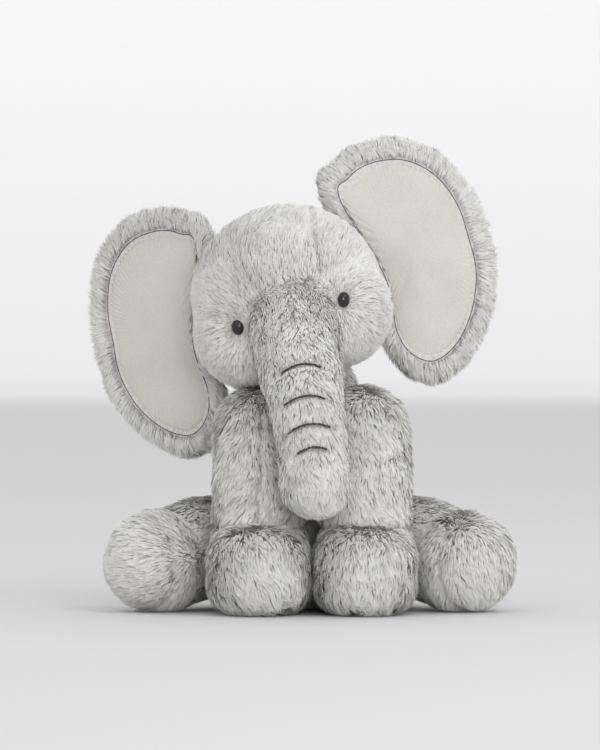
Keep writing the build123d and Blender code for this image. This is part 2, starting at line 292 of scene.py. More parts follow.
def pile(name, skin, count, flow, seed, length=1.0, keep=None, shape=None, floor=0.0004):
    """Cover a skin with combed locks of fibre.

    flow(points, normals) gives the combing direction. shape(points, normals), where given, returns the
    length, lift and tone of each lock as factors round 1, 1 and 0; that tone holds painted shade and painted
    light as well as random tone. keep thins the pile.
    """
    look = settings()[0]
    rng = np.random.default_rng(look.seed + seed)
    roots, normals = scatter(skin, count, rng, keep)
    size = np.full(count, look.length * length) * rng.uniform(0.72, 1.08, count)
    lift = np.full(count, 1.0)
    tone = np.zeros(count)
    if shape is not None:
        size_factor, lift_factor, tone_painted_shade_and_light = shape(roots, normals)
        size = size * size_factor
        lift = lift * lift_factor
        tone = tone + tone_painted_shade_and_light

    comb = flow(roots, normals)
    swirl = np.stack([waves(roots, 0.028, seed * 7 + i) for i in range(3)], 1)
    fine = np.stack([waves(roots, 0.009, seed * 7 + 3 + i) for i in range(3)], 1)
    comb = comb + 0.26 * swirl + 0.16 * fine + rng.normal(0, 0.10, (count, 3))
    comb = unit(comb - normals * (comb * normals).sum(1)[:, None])

    # tufts: each lock leans towards the end of its nearest tuft
    tufts = max(8, int(count / (look.density * (look.clump * 1000) ** 2)))
    chosen = rng.choice(count, tufts, replace=False)
    tree = KDTree(tufts)
    for i, point in enumerate(roots[chosen]):
        tree.insert(point, i)
    tree.balance()
    owner = chosen[np.array([tree.find(point)[1] for point in roots])]
    gather = 0.44 * (0.75 + 0.25 * waves(roots, 0.02, seed * 7 + 9))

    first = np.radians(48) * lift * (1 + 0.16 * waves(roots, 0.012, seed + 31))
    last = np.radians(17) * lift
    half = size[:, None] / 2
    up1, up2 = np.sin(first)[:, None], np.sin(last)[:, None]
    out1, out2 = np.cos(first)[:, None], np.cos(last)[:, None]
    middle = roots + half * (comb * out1 + normals * up1)
    tip = middle + half * (comb * out2 + normals * up2)
    goal_middle = middle[owner] + (roots - roots[owner]) * 0.62
    goal_tip = tip[owner] + (roots - roots[owner]) * 0.18
    middle = middle + (goal_middle - middle) * (gather * 0.45)[:, None]
    tip = tip + (goal_tip - tip) * gather[:, None]
    if floor is not None:
        for rows in (middle, tip):
            rows[:, 2] = np.maximum(rows[:, 2], floor)

    twist = rng.normal(0, 0.5, count)[:, None]
    across = unit(np.cross(comb, normals)) * np.cos(twist) + normals * np.sin(twist)
    wide = look.width * rng.uniform(0.75, 1.25, count)[:, None]

    points, faces = lock_template()
    spine = [roots - normals * 0.0006, middle, tip]
    taper = (1.0, 0.8, 0.0)
    rows = []
    for sideways, along in points:
        stop = int(round(along * 2))
        rows.append(spine[stop] + across * wide * sideways * taper[stop])
    vertices = np.stack(rows, 1).reshape(-1, 3)
    step = len(points)
    starts = (np.arange(count) * step)[:, None]
    corners = np.concatenate([(starts + np.array(face)[None, :]).ravel() for face in faces])
    sizes = np.concatenate([np.full(count, len(face), np.int32) for face in faces])

    mesh = bpy.data.meshes.new(name)
    mesh.vertices.add(len(vertices))
    mesh.vertices.foreach_set("co", vertices.astype(np.float32).ravel())
    mesh.loops.add(len(corners))
    mesh.loops.foreach_set("vertex_index", corners.astype(np.int32))
    mesh.polygons.add(len(sizes))
    mesh.polygons.foreach_set("loop_start", np.concatenate([[0], np.cumsum(sizes)[:-1]]).astype(np.int32))
    mesh.polygons.foreach_set("loop_total", sizes)
    mesh.update(calc_edges=True)
    shade_smooth(mesh)

    # tone across, root to tip up: the same tone always has the same place on the map
    # each lock's tone is random tone plus the shape's painted shade and painted light
    tones = np.clip(0.56 + 0.10 * waves(roots, 0.011, seed + 50) + 0.10 * waves(roots, 0.04, seed + 51)
                    + rng.normal(0, 0.09, count) + tone, 0.02, 0.98)
    u = np.repeat(tones, step) + np.tile(points[:, 0] * 0.03, count)
    v = np.tile(points[:, 1] * 0.96 + 0.02, count)
    layer = mesh.uv_layers.new(name="OFBake")
    layer.data.foreach_set("uv", np.stack([u, v], 1)[corners].astype(np.float32).ravel())

    # soft pile is lit mostly as the skin below it is
    face = unit(np.cross(across, tip - roots))
    face *= np.sign((face * normals).sum(1))[:, None]
    soft = unit(normals * 0.78 + face * 0.22)
    mesh.normals_split_custom_set_from_vertices(np.repeat(soft, step, axis=0).astype(np.float32))

    thing = add_object(name, mesh)
    mesh.materials.append(pile_material())
    return thing


# ---- materials ----
def new_material(name):
    material = bpy.data.materials.get(name)
    if material is not None:
        return material, None
    material = bpy.data.materials.new(name)
    material.use_nodes = True
    return material, material.node_tree


def link_ramp(tree, source, stops):
    ramp = tree.nodes.new("ShaderNodeValToRGB")
    while len(ramp.color_ramp.elements) < len(stops):
        ramp.color_ramp.elements.new(0.5)
    for element, (place, colour) in zip(ramp.color_ramp.elements, stops):
        element.position = place
        element.color = (*colour, 1)
    tree.links.new(source, ramp.inputs[0])
    return ramp.outputs[0]


def shader_of(tree):
    return tree.nodes["Principled BSDF"]


def mixed(a, b, t):
    return tuple(x * (1 - t) + y * t for x, y in zip(a, b))


def pile_material():
    look = settings()[0]
    material, tree = new_material("elephant_pile")
    if tree is None:
        return material
    shader = shader_of(tree)
    uv = tree.nodes.new("ShaderNodeUVMap")
    uv.uv_map = "OFBake"
    split = tree.nodes.new("ShaderNodeSeparateXYZ")
    tree.links.new(uv.outputs[0], split.inputs[0])
    root, tip = tuple(look.root), tuple(look.tip)
    along = link_ramp(tree, split.outputs[1], [(0.0, root), (0.38, mixed(root, tip, 0.62)), (0.85, tip)])
    # darker, warmer tone columns to the left carry painted shade as well as random tone; lighter ones to the
    # right carry painted light
    tones = [(0.0, (0.62, 0.59, 0.58)), (0.5, (0.88, 0.88, 0.876)), (0.9, (1, 1, 1))]
    tone = link_ramp(tree, split.outputs[0], tones)
    mix = tree.nodes.new("ShaderNodeMix")
    mix.data_type = "RGBA"
    mix.blend_type = "MULTIPLY"
    mix.inputs[0].default_value = 1.0
    tree.links.new(along, mix.inputs[6])
    tree.links.new(tone, mix.inputs[7])
    tree.links.new(mix.outputs[2], shader.inputs["Base Color"])
    shader.inputs["Roughness"].default_value = 0.82
    shader.inputs["Specular IOR Level"].default_value = 0.22
    shader.inputs["Sheen Weight"].default_value = 0.22
    shader.inputs["Sheen Roughness"].default_value = 0.5
    return material


def backing_material():
    """The knitted backing that the pile grows from, seen where the pile parts."""
    look = settings()[0]
    material, tree = new_material("elephant_backing")
    if tree is None:
        return material
    shader = shader_of(tree)
    place = tree.nodes.new("ShaderNodeTexCoord")
    noise = tree.nodes.new("ShaderNodeTexNoise")
    noise.inputs["Scale"].default_value = 420
    noise.inputs["Detail"].default_value = 4
    tree.links.new(place.outputs["Object"], noise.inputs["Vector"])
    root, tip = tuple(look.root), tuple(look.tip)
    stops = [(0.3, mixed(root, tip, 0.12)), (0.7, mixed(root, tip, 0.5))]
    colour = link_ramp(tree, noise.outputs["Fac"], stops)
    tree.links.new(colour, shader.inputs["Base Color"])
    shader.inputs["Roughness"].default_value = 0.95
    shader.inputs["Specular IOR Level"].default_value = 0.1
    bump = tree.nodes.new("ShaderNodeBump")
    bump.inputs["Strength"].default_value = 0.5
    bump.inputs["Distance"].default_value = 0.0008
    tree.links.new(noise.outputs["Fac"], bump.inputs["Height"])
    tree.links.new(bump.outputs[0], shader.inputs["Normal"])
    return material


def cloth_material(name, colour, scale, contrast, roughness=0.9, sheen=0.0, bump_height=0.0002, weave=False):
    """Cloth, thread or moulded stuff with a fine grain in the toy's own coordinates."""
    material, tree = new_material(name)
    if tree is None:
        return material
    shader = shader_of(tree)
    place = tree.nodes.new("ShaderNodeTexCoord")
    fine = tree.nodes.new("ShaderNodeTexNoise")
    fine.inputs["Scale"].default_value = scale
    fine.inputs["Detail"].default_value = 5
    tree.links.new(place.outputs["Object"], fine.inputs["Vector"])
    height = fine.outputs["Fac"]
    if weave:
        wave = tree.nodes.new("ShaderNodeTexWave")
        wave.inputs["Scale"].default_value = scale * 0.6
        wave.inputs["Distortion"].default_value = 1.2
        tree.links.new(place.outputs["Object"], wave.inputs["Vector"])
        height = wave.outputs["Fac"]
    dark = tuple(c * (1 - contrast) for c in colour)
    light = tuple(min(1, c * (1 + contrast)) for c in colour)
    grain = link_ramp(tree, fine.outputs["Fac"], [(0.3, dark), (0.7, light)])
    tree.links.new(grain, shader.inputs["Base Color"])
    shader.inputs["Roughness"].default_value = roughness
    shader.inputs["Sheen Weight"].default_value = sheen
    shader.inputs["Specular IOR Level"].default_value = 0.25
    bump = tree.nodes.new("ShaderNodeBump")
    bump.inputs["Strength"].default_value = 0.6
    bump.inputs["Distance"].default_value = bump_height
    tree.links.new(height, bump.inputs["Height"])
    tree.links.new(bump.outputs[0], shader.inputs["Normal"])
    return material


def suede_material():
    cloth = settings()[1]
    material, tree = new_material("ear_suede")
    if tree is None:
        return material
    shader = shader_of(tree)
    place = tree.nodes.new("ShaderNodeTexCoord")
    speckle = tree.nodes.new("ShaderNodeTexNoise")
    speckle.inputs["Scale"].default_value = 1500
    speckle.inputs["Detail"].default_value = 3
    cloud = tree.nodes.new("ShaderNodeTexNoise")
    cloud.inputs["Scale"].default_value = 26
    cloud.inputs["Detail"].default_value = 3
    for noise in (speckle, cloud):
        tree.links.new(place.outputs["Object"], noise.inputs["Vector"])
    base = tuple(cloth.suede)
    warm = (1.0, 0.99, 0.965)
    fine = link_ramp(tree, speckle.outputs["Fac"], [
        (0.30, tuple(c * 0.88 * w for c, w in zip(base, (1, 0.99, 0.98)))),
        (0.50, base),
        (0.72, tuple(min(1, c * 1.07 * w) for c, w in zip(base, warm))),
    ])
    broad = link_ramp(tree, cloud.outputs["Fac"], [(0.3, (0.93, 0.93, 0.93)), (0.7, (1, 1, 1))])
    mix = tree.nodes.new("ShaderNodeMix")
    mix.data_type = "RGBA"
    mix.blend_type = "MULTIPLY"
    mix.inputs[0].default_value = 1.0
    tree.links.new(fine, mix.inputs[6])
    tree.links.new(broad, mix.inputs[7])
    tree.links.new(mix.outputs[2], shader.inputs["Base Color"])
    shader.inputs["Roughness"].default_value = 0.92
    shader.inputs["Specular IOR Level"].default_value = 0.15
    shader.inputs["Sheen Weight"].default_value = 0.35
    shader.inputs["Sheen Roughness"].default_value = 0.45
    bump = tree.nodes.new("ShaderNodeBump")
    bump.inputs["Strength"].default_value = 0.5
    bump.inputs["Distance"].default_value = 0.00018
    tree.links.new(speckle.outputs["Fac"], bump.inputs["Height"])
    tree.links.new(bump.outputs[0], shader.inputs["Normal"])
    return material


def eye_material():
    material, tree = new_material("eye_black")
    if tree is None:
        return material
    shader = shader_of(tree)
    place = tree.nodes.new("ShaderNodeTexCoord")
    noise = tree.nodes.new("ShaderNodeTexNoise")
    noise.inputs["Scale"].default_value = 160
    tree.links.new(place.outputs["Object"], noise.inputs["Vector"])
    blacks = [(0.3, (0.004, 0.004, 0.0045)), (0.7, (0.010, 0.010, 0.011))]
    colour = link_ramp(tree, noise.outputs["Fac"], blacks)
    tree.links.new(colour, shader.inputs["Base Color"])
    shader.inputs["Roughness"].default_value = 0.09
    shader.inputs["Specular IOR Level"].default_value = 0.32
    return material


# ---- what stands where ----
HEAD, HEAD_SIZE = box_centre("head_stuffing")
ROLL = math.atan2(-JOINTS["ear_left_flap"]["axis"][0], JOINTS["ear_left_flap"]["axis"][2]) - math.radians(13)
HEAD_TURN = Matrix.Rotation(-ROLL, 4, "Y")
PILE_ABOVE = 0.0036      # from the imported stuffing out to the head's skin
EYE_PROUD = 0.0012       # how far the middle of an eye's dome stands out of the skin


def in_head(x, y, z):
    """A point of the head's own upright frame, in millimetres, in the toy's frame."""
    return HEAD + HEAD_TURN @ Vector((x * MM, y * MM, z * MM))


def head_frame(points):
    """Points as millimetres in the head's own upright frame."""
    turn = np.array(HEAD_TURN.to_3x3().transposed())
    return ((points - np.array(HEAD)) @ turn.T) / MM


def away_from(points, origin):
    return unit(points - np.array(origin))


# ---- head ----
def eye_seat(side):
    centre = box_centre("eye_" + side)[0]
    outward = (centre - HEAD).normalized()
    return centre, outward


def build_head():
    radius = HEAD_SIZE.x / 2
    bm = bmesh.new()
    ball(bm, HEAD, radius, (1.035, 0.965, 0.985), HEAD_TURN)
    for sign in (-1, 1):
        ball(bm, in_head(sign * 30, -18, -18), 0.037)
    ball(bm, in_head(0, -26, 14), 0.038)
    skin = stuffed("head_skin", bm, smooth=14)
    for side in SIDES:
        seat, outward = eye_seat(side)
        for vertex in skin.data.vertices:
            near = (vertex.co - seat).length
            vertex.co -= outward * 0.0022 * math.exp(-(near / 0.009) ** 2)
    return skin


def head_flow(points, normals):
    """The pile runs away from the bridge of the nose, and round each eye."""
    local = head_frame(points)
    reach = np.clip(local[:, 0], -24, 28)
    brow = 9 - 10 * ((reach - 2) / 26) ** 2
    bridge = np.stack([reach, np.full(len(points), -58.0), brow], 1)
    comb = unit((local - bridge) @ np.array(HEAD_TURN.to_3x3().transposed()))
    behind = np.clip((local[:, 1] + 10) / 50, 0, 1)[:, None]
    comb = comb * (1 - behind) + np.array([0.0, 0.5, -0.7]) * behind
    lean = np.clip(local[:, 2] / 40, 0, 1)[:, None] * (1 - behind)
    comb = comb + lean * np.array([0.62, 0.0, 0.55])
    for side in SIDES:
        seat = np.array(eye_seat(side)[0])
        gap = np.linalg.norm(points - seat, axis=1)
        pull = np.exp(-(gap / 0.017) ** 2)[:, None] * 2.4
        comb = comb + away_from(points, seat) * pull
    return comb


def front_half(points, normals):
    """The front of the head carries its own pile, which is the denser one."""
    return (head_frame(points)[:, 1] < 2).astype(float)


def back_half(points, normals):
    return (head_frame(points)[:, 1] >= 2).astype(float)


def head_shape(points, normals):
    length = np.full(len(points), 1.0)
    lift = np.full(len(points), 1.0)
    tone = np.zeros(len(points))
    for side in SIDES:
        gap = np.linalg.norm(points - np.array(eye_seat(side)[0]), axis=1)
        near = np.clip(1 - (gap - 0.005) / 0.012, 0, 1)
        length *= 1 - 0.62 * near
        lift *= 1 - 0.35 * near
        # painted shade: a dark ring round each eye, where the eye sits in its socket
        tone -= 0.20 * np.exp(-((gap - 0.006) / 0.004) ** 2)
    local = head_frame(points)
    seam = np.abs(local[:, 0] - 24 - 0.10 * local[:, 2]) / 2.2
    front = (local[:, 1] < 0) & (local[:, 2] > 4)
    groove = np.exp(-seam ** 2) * front
    length *= 1 - 0.45 * groove
    # painted shade: the pile along the seam groove on the head's front is painted darker
    tone -= 0.22 * groove
    return length, lift, tone


# ---- trunk ----
TRUNK_ROOT = joint_place("trunk_lift")
CREASE_LEAN = 0.15
IN_FRONT = -0.4          # a place ahead of the toy, to look back at it from


def trunk_stops():
    """Centre line and radius of the trunk's skin, from the brow to the tip."""
    low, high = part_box("trunk_top_panel")
    tip = Vector(((low.x + high.x) / 2 + 0.0075, low.y + 0.024, low.z + 0.0245))
    root = TRUNK_ROOT
    shrink = 0.0030
    return [
        (root + Vector((-0.006, 0.0225, 0.036)), 0.0270 - shrink),
        (root + Vector((-0.003, 0.0100, 0.015)), 0.0335 - shrink),
        (root + Vector((0.0015, -0.0125, -0.010)), 0.0302 - shrink),
        (root + Vector((0.005, -0.033, -0.034)), 0.0262 - shrink),
        (root.lerp(tip, 0.72) + Vector((0.0015, -0.0085, 0.0)), 0.0246 - shrink),
        (tip, 0.0252 - shrink),
    ]


def crease_arcs():
    """Each stitched crease as its middle, half width and rise, seen from the front."""
    arcs = []
    for number in range(1, 5):
        low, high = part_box(f"crease_stitch_{number}")
        half = (high.x - low.x) / 2
        arcs.append(((low.x + high.x) / 2, high.z - 0.0008, half, min(high.z - low.z - 0.0016, 0.31 * half)))
    return arcs


def crease_height(arc, x):
    middle, top, half, rise = arc
    return top - rise * ((x - middle) / half) ** 2 + CREASE_LEAN * (x - middle)


def build_trunk():
    bm = bmesh.new()
    ball_chain(bm, trunk_stops(), 6)
    skin = stuffed("trunk_skin", bm, voxel=0.0025, smooth=12)
    arcs = crease_arcs()
    for vertex, normal in zip(skin.data.vertices, [v.normal.copy() for v in skin.data.vertices]):
        if normal.y > -0.2:
            continue
        for arc in arcs:
            gap = vertex.co.z - crease_height(arc, vertex.co.x)
            side = abs(vertex.co.x - arc[0]) / (arc[2] * 1.35)
            if side < 1:
                vertex.co -= normal * 0.0022 * math.exp(-(gap / 0.0026) ** 2) * (1 - side ** 4)
    return skin


def trunk_flow(points, normals):
    lower = np.clip((TRUNK_ROOT.z - points[:, 2]) / 0.04, 0, 1)[:, None]
    comb = np.array([0.05, -0.62, -0.72]) * (1 - lower) + np.array([0.14, -0.05, -1.0]) * lower
    spread = points[:, :1] - (TRUNK_ROOT.x + 0.002)
    return comb + np.concatenate([spread * 9, np.zeros((len(points), 2))], 1) * (1 - lower)


def trunk_shape(points, normals):
    length = np.full(len(points), 0.92)
    lift = np.full(len(points), 0.86)
    # painted light: the trunk's pile starts lighter than the head's
    tone = np.full(len(points), 0.16)
    reach = 0.0080
    for arc in crease_arcs():
        inside = np.clip((1.15 - np.abs(points[:, 0] - arc[0]) / arc[2]) / 0.15, 0, 1)
        inside = inside * (normals[:, 1] < -0.1)
        gap = points[:, 2] - crease_height(arc, points[:, 0])
        above = np.clip(gap / reach, 0, 1)
        press = np.where(gap > 0, 1 - above, 0) * inside
        length *= 1 - 0.80 * press
        lift *= 1 - 0.45 * press
        # painted shade: a dark band just under each crease
        below = np.exp(-((gap + 0.001) / 0.0015) ** 2) * inside
        tone -= 0.30 * below
    # painted shade darker towards the brow, where the trunk meets the face; the pile there is also shorter and
    # stands higher
    brow = np.clip((points[:, 2] - TRUNK_ROOT.z - 0.006) / 0.028, 0, 1)
    tone -= 0.20 * brow
    length *= 1 - 0.15 * brow
    lift *= 1 + 0.25 * brow
    # painted light: lighter still towards the tip
    tip = np.clip((TRUNK_ROOT.z - 0.10 - points[:, 2]) / 0.02, 0, 1)
    tone += 0.25 * tip
    return length, lift, tone


def thread_piece(name, stops, width):
    """A twisted thread laid along a smooth line of stops."""
    curve = bpy.data.curves.new(name, "CURVE")
    curve.dimensions = "3D"
    curve.bevel_depth = width / 2
    curve.bevel_resolution = 2
    curve.resolution_u = 6
    curve.use_fill_caps = True
    line = curve.splines.new("NURBS")
    line.points.add(len(stops) - 1)
    for i, (point, stop) in enumerate(zip(line.points, stops)):
        point.co = (*stop, 1)
        point.radius = 1 + 0.22 * math.sin(i * 2.4)
    line.order_u = 3
    line.use_endpoint_u = True
    thing = bpy.data.objects.new(name, curve)
    bpy.context.scene.collection.objects.link(thing)
    graph = bpy.context.evaluated_depsgraph_get()
    mesh = bpy.data.meshes.new_from_object(thing.evaluated_get(graph))
    bpy.data.objects.remove(thing)
    shade_smooth(mesh)
    return add_object(name, mesh)


def nearest_surface(skin):
    mesh = skin.data
    return BVHTree.FromPolygons([v.co.copy() for v in mesh.vertices], [list(p.vertices) for p in mesh.polygons])


def build_crease_threads(skin):
    cloth = settings()[1]
    surface = nearest_surface(skin)
    threads = []
    for number, arc in enumerate(crease_arcs(), 1):
        steps = 22
        across = [arc[0] + arc[2] * (2 * i / steps - 1) for i in range(steps + 1)]
        starts = [Vector((x, IN_FRONT, crease_height(arc, x))) for x in across]
        hits = [surface.ray_cast(start, Vector((0, 1, 0)))[0].y for start in starts]
        depth = np.polyval(np.polyfit(across, hits, 4), across) - 0.0036
        stops = [Vector((x, y, crease_height(arc, x))) for x, y in zip(across, depth)]
        thread = thread_piece(f"crease_thread_{number}", stops, cloth.thread_width)
        thread.data.materials.append(
            cloth_material("crease_thread", tuple(cloth.thread), 2400, 0.5, 0.7, 0.1, 0.0003, True)
        )
        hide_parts(f"crease_stitch_{number}")
        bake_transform(thread)
        threads.append(thread)
    return threads


def trunk_bend():
    """Two points about the trunk's root, one up towards the brow and one down the trunk."""
    return TRUNK_ROOT + Vector((0, 0.012, 0.016)), TRUNK_ROOT + Vector((0.003, -0.022, -0.022))


# ---- ears ----
EAR_FRAMES = {}


def ear_frame(side):
    """The ear's root, and its directions outward, upward and forward."""
    if side not in EAR_FRAMES:
        EAR_FRAMES[side] = find_ear_frame(side)
    return EAR_FRAMES[side]


def find_ear_frame(side):
    joint = JOINTS[f"ear_{side}_flap"]
    up = Vector(joint["axis"])
    up = up if up.z > 0 else -up
    root = Vector(joint["pos_m"])
    outer = box_centre(f"ear_back_{side}")[0]
    across = outer - root
    across = (across - up * across.dot(up)).normalized()
    forward = across.cross(up)
    forward = forward if forward.y < 0 else -forward
    return root, across, up, forward


EAR_OUTLINE = (
    (-3, 49), (12, 62), (34, 65), (61, 56), (81, 33), (89, 2), (86, -28),
    (76, -58), (55, -84), (30, -100), (6, -103), (-8, -90), (-11, -70), (-4, -35),
)
EAR_SHIFT = {"left": 3.0, "right": -5.0}
EAR_MIDDLE = (42.0, -18.0)
LINING_INSET = 12.5      # the plush rim outside the suede lining
SUEDE_THICK = 0.0011


def closed_spline(points, steps=7):
    """A smooth closed line through points."""
    count = len(points)
    line = []
    for i in range(count):
        a, b, c, d = (points[(i + k - 1) % count] for k in range(4))
        for j in range(steps):
            t = j / steps
            line.append(tuple(
                0.5 * (2 * b[k] + (c[k] - a[k]) * t + (2 * a[k] - 5 * b[k] + 4 * c[k] - d[k]) * t * t
                       + (3 * b[k] - a[k] - 3 * c[k] + d[k]) * t ** 3)
                for k in range(2)
            ))
    return line


def ear_bend(side, u, v):
    """How far the soft ear curls forward of its flat sheet, in millimetres."""
    away = (v + 18) / 85
    cup = 7.0 * away * away + 5.0 * (max(u, 0) / 90) ** 2
    fold = 2.4 * math.sin((u * 0.55 + v * 0.8) / 17.0 + (0.4 if side == "left" else 2.2))
    return cup - 4.0 + fold * min(1, max(0, (95 - u) / 60))


def ear_point(side, u, v, w):
    """A point of the ear, in millimetres outward, upward and forward of its sheet."""
    root, across, up, forward = ear_frame(side)
    w = w + ear_bend(side, u, v)
    return root + (across * u + up * (v + EAR_SHIFT[side]) + forward * w) * MM


def ear_outline(inset):
    """The ear's outline drawn in by inset, as (u, v)."""
    middle = Vector(EAR_MIDDLE)
    line = []
    for u, v in closed_spline(EAR_OUTLINE):
        arm = Vector((u, v)) - middle
        arm = arm * (1 - inset / arm.length)
        line.append((middle.x + arm.x, middle.y + arm.y))
    return line


def build_ear(side):
    thick = 5.0
    bm = bmesh.new()
    ring = [bm.verts.new((u, v, -thick - 2)) for u, v in ear_outline(1.2)]
    face = bm.faces.new(ring)
    grown = bmesh.ops.extrude_face_region(bm, geom=[face])["geom"]
    top = [g for g in grown if isinstance(g, bmesh.types.BMVert)]
    bmesh.ops.translate(bm, verts=top, vec=(0, 0, 2 * thick - 1))
    bmesh.ops.recalc_face_normals(bm, faces=bm.faces)
    mesh = bpy.data.meshes.new(f"ear_{side}_skin")
    bmesh.ops.scale(bm, vec=(MM, MM, MM), verts=bm.verts)
    bm.to_mesh(mesh)
    bm.free()
    skin = add_object(f"ear_{side}_skin", mesh)
    finished(
        skin,
        ("REMESH", {"mode": "VOXEL", "voxel_size": 0.0022, "use_smooth_shade": True}),
        ("SMOOTH", {"factor": 0.6, "iterations": 10}),
    )
    for vertex in skin.data.vertices:
        vertex.co = ear_point(side, *(c / MM for c in vertex.co))
    settle_normals(skin)
    return skin


def settle_normals(thing):
    bm = bmesh.new()
    bm.from_mesh(thing.data)
    bmesh.ops.recalc_face_normals(bm, faces=bm.faces)
    bm.to_mesh(thing.data)
    bm.free()
    shade_smooth(thing.data)


def build_lining(side):
    """The suede lining: rings drawn in from its seam, crowned and softly folded."""
    bm = bmesh.new()
    ring = [bm.verts.new((u, v, 0)) for u, v in ear_outline(LINING_INSET)]
    bm.faces.new(ring)
    step = 3.4
    for _ in range(9):
        middle = max(bm.faces, key=lambda f: f.calc_area())
        bmesh.ops.inset_region(bm, faces=[middle], thickness=step, use_even_offset=False)
    middle = max(bm.faces, key=lambda f: f.calc_area())
    bmesh.ops.poke(bm, faces=[middle])
    bmesh.ops.subdivide_edges(bm, edges=bm.edges, cuts=1, use_grid_fill=True)
    rim = [Vector(p) for p in ear_outline(LINING_INSET)]
    tree = KDTree(len(rim))
    for i, p in enumerate(rim):
        tree.insert((p.x, p.y, 0), i)
    tree.balance()
    for vertex in bm.verts:
        u, v = vertex.co.x, vertex.co.y
        edge = min(1.0, tree.find((u, v, 0))[2] / 9.0)
        crown = 2.6 * edge * (2 - edge)
        fold = 1.5 * math.sin(u / 9.5 + v / 21 + 1.1) * math.sin(v / 15 + 0.6) * edge
        vertex.co = ear_point(side, u, v, 1.4 + crown + fold * 0.6)
    mesh = bpy.data.meshes.new(f"ear_{side}_lining")
    bm.to_mesh(mesh)
    bm.free()
    lining = add_object(f"ear_{side}_lining", mesh)
    settle_normals(lining)
    forward = ear_frame(side)[3]
    if sum((p.normal.dot(forward) for p in lining.data.polygons)) < 0:
        lining.data.flip_normals()
    finished(
        lining,
        ("SOLIDIFY", {"thickness": SUEDE_THICK, "offset": -1.0}),
        ("SUBSURF", {"levels": 1, "render_levels": 1}),
    )
    shade_smooth(lining.data)
    lining.data.materials.append(suede_material())
    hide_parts(f"ear_suede_{side}")
    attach(lining, f"ear_{side}")
    return lining


def build_lining_seam(side):
    stops = [ear_point(side, u, v, 2.0) for u, v in ear_outline(12.3)]
    stops.append(stops[0])
    seam = thread_piece(f"ear_{side}_seam", stops, 0.0007)
    # the seam's dark grey is partly the thread and partly painted shade in the groove between the suede and the
    # rim
    dark_grey = (0.16, 0.15, 0.145)
    seam.data.materials.append(cloth_material("seam_thread", dark_grey, 2400, 0.4, 0.8, 0.0, 0.0002, True))
    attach(seam, f"ear_{side}")
    return seam


def ear_flow_for(side):
    middle = np.array(ear_point(side, *EAR_MIDDLE, 0))
    across, up, forward = (np.array(p) for p in ear_frame(side)[1:])

    def flow(points, normals):
        comb = away_from(points, middle)
        back = (normals @ forward < -0.5)[:, None]
        return np.where(back, comb * 0.55 + across * 0.5 - up * 0.6, comb)

    return flow


def ear_keep_for(side):
    """Pile grows on the back and the rim, not under the lining."""
    forward = np.array(ear_frame(side)[3])
    across, up = (np.array(p) for p in ear_frame(side)[1:3])
    root = np.array(ear_frame(side)[0])
    rim = np.array(ear_outline(12.0))
    middle = np.array(EAR_MIDDLE)
    angles = np.arctan2(rim[:, 1] - middle[1], rim[:, 0] - middle[0])
    reach = np.hypot(rim[:, 1] - middle[1], rim[:, 0] - middle[0])
    order = np.argsort(angles)

    def keep(points, normals):
        arm = (points - root) / MM
        u = arm @ across - middle[0]
        v = arm @ up - EAR_SHIFT[side] - middle[1]
        limit = np.interp(np.arctan2(v, u), angles[order], reach[order], period=2 * math.pi)
        under = (np.hypot(u, v) < limit) & (normals @ forward > 0.1)
        edge = np.hypot(u, v) > limit
        return np.where(under, 0.0, np.where(edge, 1.7, 0.8))

    return keep


# ---- torso and legs ----
def build_torso():
    seat = box_centre("back_panel_left", "back_panel_right", "belly_panel", "seat_panel")[0]
    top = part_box("torso_stuffing")[1].z
    neck = joint_place("head_turn")
    back_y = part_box("back_panel_left")[1].y
    bm = bmesh.new()
    low = Vector((seat.x, back_y - 0.058, 0.050))
    chest = Vector((seat.x, back_y - 0.058, top - 0.046))
    ball_chain(bm, [(low, 0.0545), (chest, 0.0425), (neck + Vector((0, 0.002, -0.012)), 0.0345)], 6)
    ball(bm, low + Vector((0, 0.002, -0.014)), 0.052, (1.05, 1.0, 0.8))
    for sign in (-1, 1):
        ball(bm, chest + Vector((sign * 0.026, -0.024, -0.006)), 0.030)
    return stuffed("torso_skin", bm, voxel=0.0034, smooth=14, floor=0.0018)


def down_flow(points, normals):
    return np.tile(np.array([0.04, -0.12, -1.0]), (len(points), 1))


def torso_flow(points, normals):
    away = points - np.array(box_centre("torso_stuffing")[0])
    return np.array([0, 0, -1.0]) + unit(away) * np.array([0.3, 0.3, 0])


